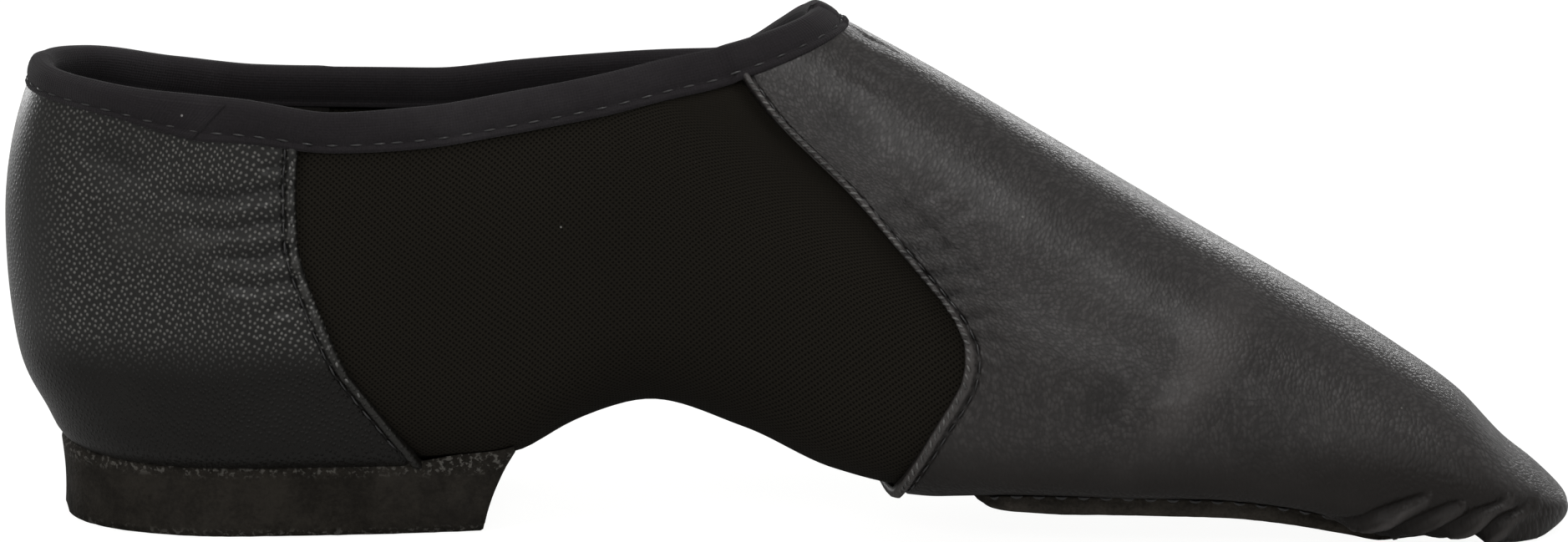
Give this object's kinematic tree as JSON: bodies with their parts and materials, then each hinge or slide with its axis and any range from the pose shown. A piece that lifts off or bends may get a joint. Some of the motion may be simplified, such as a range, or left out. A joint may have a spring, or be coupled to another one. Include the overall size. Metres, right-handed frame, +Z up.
{
  "type": "jazz shoe",
  "caption": "Black slip-on jazz shoe for the left foot, mesh body with leather toe and heel panels, bound collar, low heel and split sole.",
  "frame": {"origin": "middle of the shoe's box on the floor it stands on", "axes": "+X from heel to toe, +Z up; the inner side of the foot faces -Y"},
  "size_m": [0.2412, 0.082, 0.0788],
  "materials": {
    "mesh_fabric": "fine brown-black elastic mesh with tiny holes",
    "vamp_leather": "soft black leather with a fine flowing grain and a low sheen",
    "counter_leather": "black leather with an even dotted grain and a low sheen",
    "binding_fabric": "matt black stretch binding, single row of stitches",
    "sole_suede": "dark suede, napped and dull",
    "heel_rubber": "matt brown-black, a little rough at its edges",
    "insole_fabric": "dark thin sock lining"
  },
  "bodies": {
    "root": {"upper": "mesh_fabric", "vamp": "vamp_leather", "heel_counter": "counter_leather", "collar_binding": "binding_fabric", "forefoot_outsole": "sole_suede", "heel_block": "heel_rubber", "insole": "insole_fabric"}
  },
  "joints": []
}
